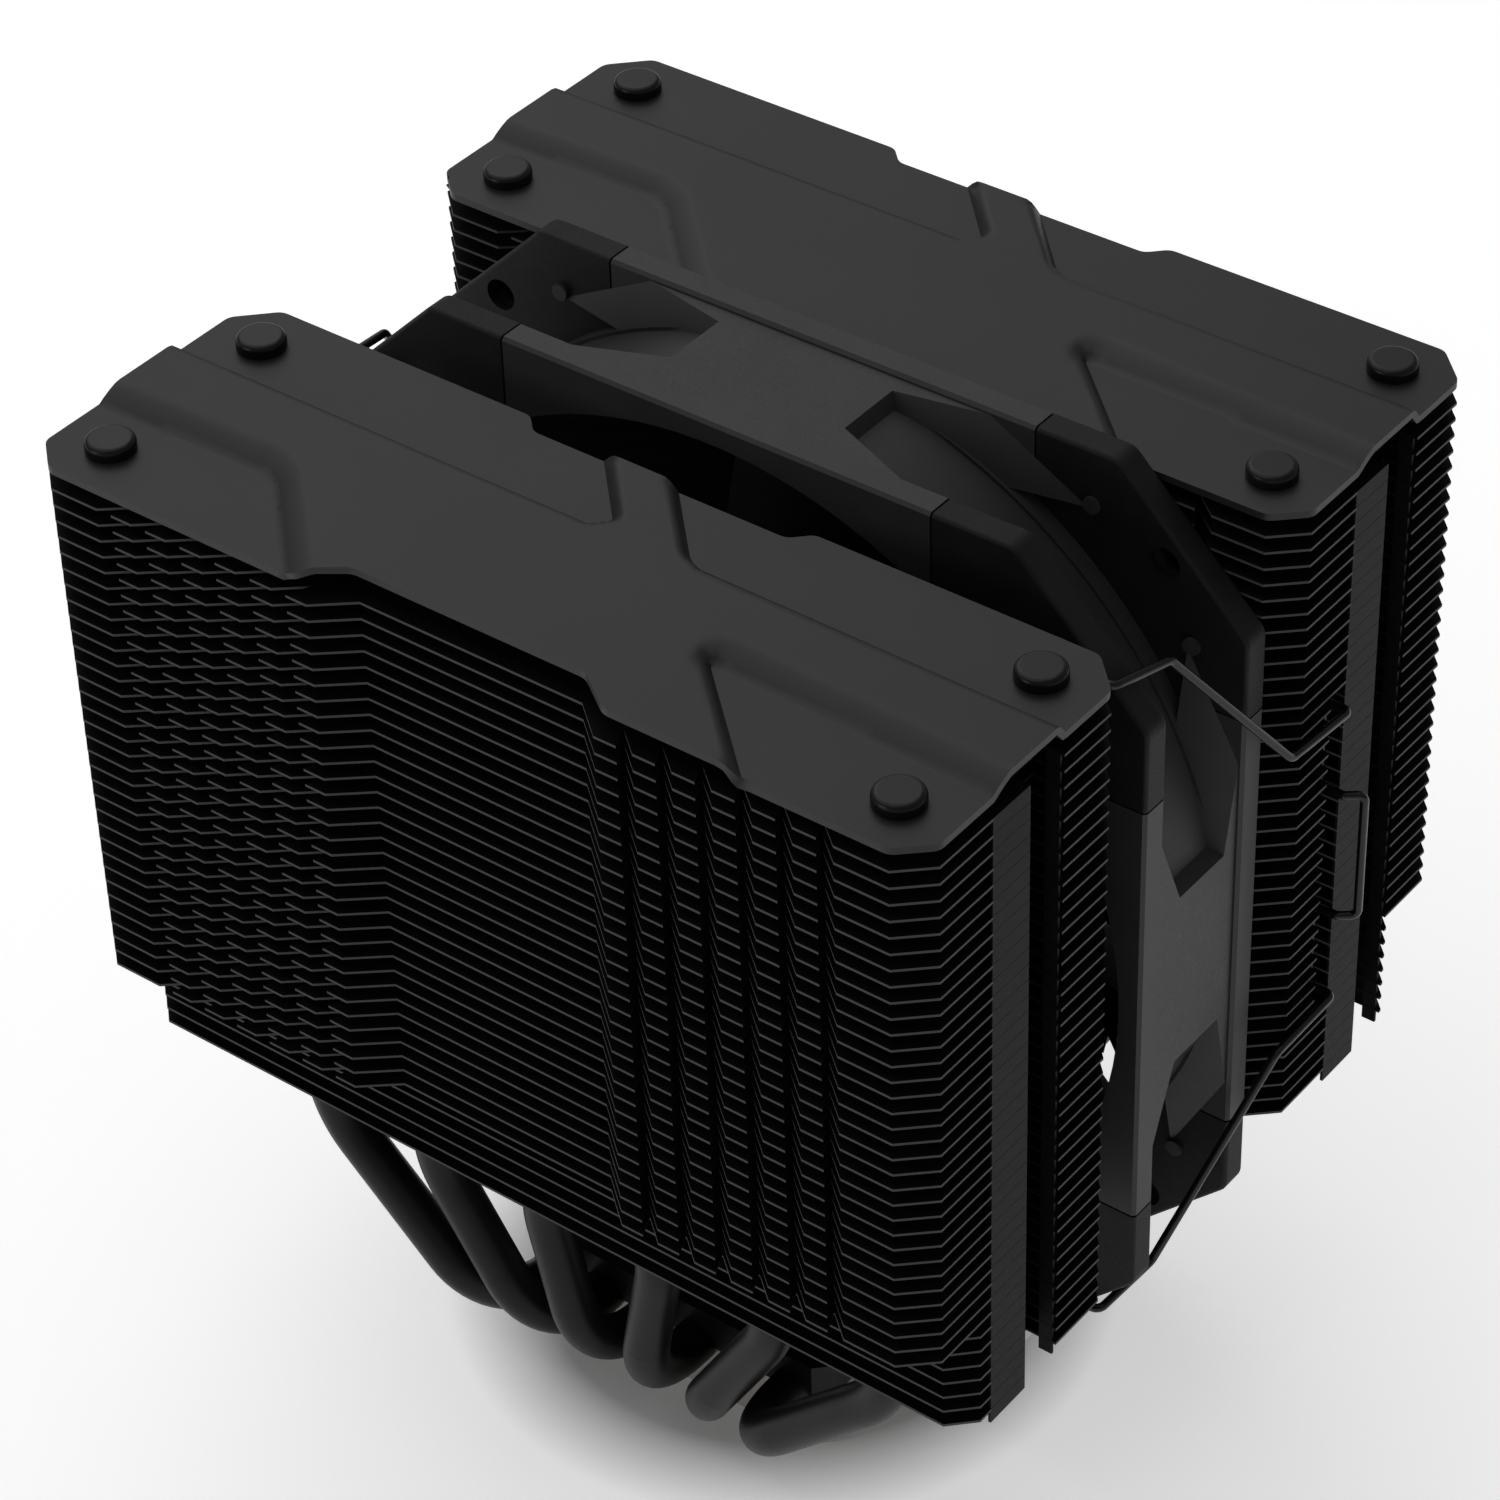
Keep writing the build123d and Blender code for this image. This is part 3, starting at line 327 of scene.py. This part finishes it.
def sheet_mesh(name, low, recess, step=0.8):
    """Upper face of a cover, triangulated with its outline and the foot of the raised area as edges."""
    right = [(RECESS_X, recess)] + OUTLINE_RIGHT
    outline = rounded(right + [(-x, y) for x, y in reversed(right)], OUTLINE_CORNER)
    closed = [tuple(p) for p in outline]
    loops = [divided(outline, step), divided(rounded(RAISED, RAISED_CORNER), step)]
    points, edges = [], []
    for loop in loops:
        start = len(points)
        points += loop
        edges += [(start + i, start + (i + 1) % len(loop)) for i in range(len(loop))]
    taken = {}
    for p in points:
        taken.setdefault(cell(p, step), []).append(p)
    for row in range(int(DEPTH / step) + 1):
        for column in range(int(2 * HALF_X / step) + 1):
            p = Vector((-HALF_X + column * step, row * step))
            i, j = cell(p, step)
            around = [q for di in (-1, 0, 1) for dj in (-1, 0, 1) for q in taken.get((i + di, j + dj), ())]
            if inside(p, closed) and all((p - q).length > step * POINT_CLEARANCE for q in around):
                points.append(p)
    verts, _, faces = delaunay_2d_cdt(points, edges, [], 0, MERGE_WITHIN)[:3]
    faces = [f for f in faces if inside(sum((verts[i] for i in f), Vector((0, 0))) / len(f), closed)]
    base = low.z / MM + SHEET
    mesh = bpy.data.meshes.new(name)
    mesh.from_pydata([(v.x * MM, v.y * MM + low.y, (base + height(v)) * MM) for v in verts], [],
                     [list(f) for f in faces])
    return mesh


def face_up(piece):
    """Drop loose points, and turn every face upwards."""
    mesh = bmesh.new()
    mesh.from_mesh(piece.data)
    bmesh.ops.delete(mesh, geom=[v for v in mesh.verts if not v.link_faces], context="VERTS")
    for face in mesh.faces:
        face.normal_update()
        if face.normal.z < 0:
            face.normal_flip()
    mesh.to_mesh(piece.data)
    mesh.free()
    piece.data.shade_smooth()


def soften(piece, width_mm, angle):
    bevel = piece.modifiers.new("edges", "BEVEL")
    bevel.width = width_mm * MM
    bevel.segments = 3
    bevel.limit_method = "ANGLE"
    bevel.angle_limit = math.radians(angle)
    bevel.harden_normals = True


def cover_sheet(name, node_name, recess):
    """A cover as one formed sheet, in place of its CAD node."""
    low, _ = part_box(node_name)
    mesh = sheet_mesh(name, low, recess)
    piece = bpy.data.objects.new(name, mesh)
    bpy.context.scene.collection.objects.link(piece)
    face_up(piece)
    solid = piece.modifiers.new("sheet", "SOLIDIFY")
    solid.thickness = SHEET * MM
    solid.offset = -1
    soften(piece, EDGE_ROUND, SHARP_ANGLE)
    piece.data.materials.append(COVER)
    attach(piece, "cooler")
    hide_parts(node_name)


cover_sheet("front_cover_sheet", "front_cover", recess=4.1)
cover_sheet("back_cover_sheet", "back_cover", recess=1.0)


# ---- Screw springs: a wound coil in place of each spring's CAD node ---------------------
def coil_spring(name, node_name, turns=4, wire=0.45, sides=10, steps=28):
    """A round wire wound in a coil that fills the box of its CAD node."""
    low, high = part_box(node_name)
    middle = (low + high) / 2
    radius = (high.x - low.x) / 2 - wire * MM
    rise = high.z - low.z - 2 * wire * MM
    count = turns * steps
    points, faces = [], []
    for i in range(count + 1):
        turn = 2 * math.pi * i / steps
        out = Vector((math.cos(turn), math.sin(turn), 0))
        centre = Vector((middle.x, middle.y, low.z + wire * MM + rise * i / count)) + out * radius
        for j in range(sides):
            around = 2 * math.pi * j / sides
            points.append(centre + (out * math.cos(around) + Vector((0, 0, math.sin(around)))) * wire * MM)
    for i in range(count):
        for j in range(sides):
            a, b = i * sides + j, i * sides + (j + 1) % sides
            faces.append((a, b, b + sides, a + sides))
    faces.append(tuple(range(sides))[::-1])
    faces.append(tuple(count * sides + j for j in range(sides)))
    mesh = bpy.data.meshes.new(name)
    mesh.from_pydata(points, [], faces)
    mesh.shade_smooth()
    piece = bpy.data.objects.new(name, mesh)
    bpy.context.scene.collection.objects.link(piece)
    piece.data.materials.append(STEEL)
    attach(piece, "cooler")
    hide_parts(node_name)
    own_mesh(piece)


for side in ("left", "right"):
    coil_spring(f"{side}_screw_coil", f"screw_spring_{side}")


# ---- Floor, lights and camera -----------------------------------------------------------
FLOOR_GLOW, PAINTED_SHADOW_RADII = (0.02, 0.5), (0.034, 0.048)       # painted shadow: the floor glows less, so it is darker, right under the base
WORLD_LIGHT = 0.24
LENS, SENSOR_WIDTH, LENS_SHIFT = 117.6, 36, (-0.0013, -0.048)
EYE, LOOK, ROLL_DEGREES = (0.3122, -0.3967, 0.3445 + 0.149), (-0.4929, 0.6223, -0.6081), 1.93


def floor_material():
    material, tree, shader = new_material("studio_floor")
    tone = ramp(tree, noise(tree, object_coords(tree), 3, 2), ((0.3, grey(0.86)), (0.7, grey(0.88))))
    tree.links.new(tone, shader.inputs["Base Color"])
    shader.inputs["Roughness"].default_value = 0.9
    shader.inputs["Emission Color"].default_value = (1, 1, 1, 1)
    distance = tree.nodes.new("ShaderNodeVectorMath")
    distance.operation = "LENGTH"
    tree.links.new(object_coords(tree), distance.inputs[0])
    # Painted shadow: the floor's glow fades towards the middle, under the base
    glow_with_painted_shadow = remap(tree, distance.outputs["Value"], *FLOOR_GLOW, *PAINTED_SHADOW_RADII)
    tree.links.new(glow_with_painted_shadow, shader.inputs["Emission Strength"])
    shader.inputs["Specular IOR Level"].default_value = 0.1
    return material


def stage_floor(size=6.0):
    mesh = bpy.data.meshes.new("floor")
    corners = [(-size, -size, 0), (size, -size, 0), (size, size, 0), (-size, size, 0)]
    mesh.from_pydata(corners, [], [(0, 1, 2, 3)])
    floor = bpy.data.objects.new("floor", mesh)
    bpy.context.scene.collection.objects.link(floor)
    floor.data.materials.append(floor_material())


def softbox(name, place, target, size, power):
    light = bpy.data.lights.new(name, "AREA")
    light.shape = "RECTANGLE"
    light.size, light.size_y = size
    light.energy = power
    lamp = bpy.data.objects.new(name, light)
    lamp.location = place
    lamp.rotation_mode = "QUATERNION"
    lamp.rotation_quaternion = (Vector(target) - Vector(place)).to_track_quat("-Z", "Y")
    bpy.context.scene.collection.objects.link(lamp)


stage_floor()
world = bpy.data.worlds.new("studio")
world.use_nodes = True
world.node_tree.nodes["Background"].inputs["Color"].default_value = (1, 1, 1, 1)
world.node_tree.nodes["Background"].inputs["Strength"].default_value = WORLD_LIGHT
bpy.context.scene.world = world
bpy.context.scene.view_settings.view_transform = "Standard"
softbox("top", (-0.5, 0.1, 1.25), (-0.1, 0, 0.1), (1.6, 1.6), 7.2)
softbox("back", (-0.95, 0.85, 1.05), (0, 0, 0.1), (1.3, 1.2), 2.3)
softbox("front", (-0.6, -1.2, 0.45), (0, 0, 0.1), (0.6, 0.5), 2.0)

camera = bpy.data.cameras.new("camera")
camera.sensor_width = SENSOR_WIDTH
camera.lens = LENS
camera.shift_x, camera.shift_y = LENS_SHIFT
camera.clip_start, camera.clip_end = 0.01, 20
eye = bpy.data.objects.new("camera", camera)
look = Vector(LOOK).normalized()
level = look.cross(Vector((0, 0, 1))).normalized()
roll = Matrix.Rotation(math.radians(ROLL_DEGREES), 3, look)
right = roll @ level
up = right.cross(look)
rotation = Matrix((right, up, -look)).transposed()
eye.matrix_world = Matrix.Translation(EYE) @ rotation.to_4x4()
bpy.context.scene.collection.objects.link(eye)
bpy.context.scene.camera = eye
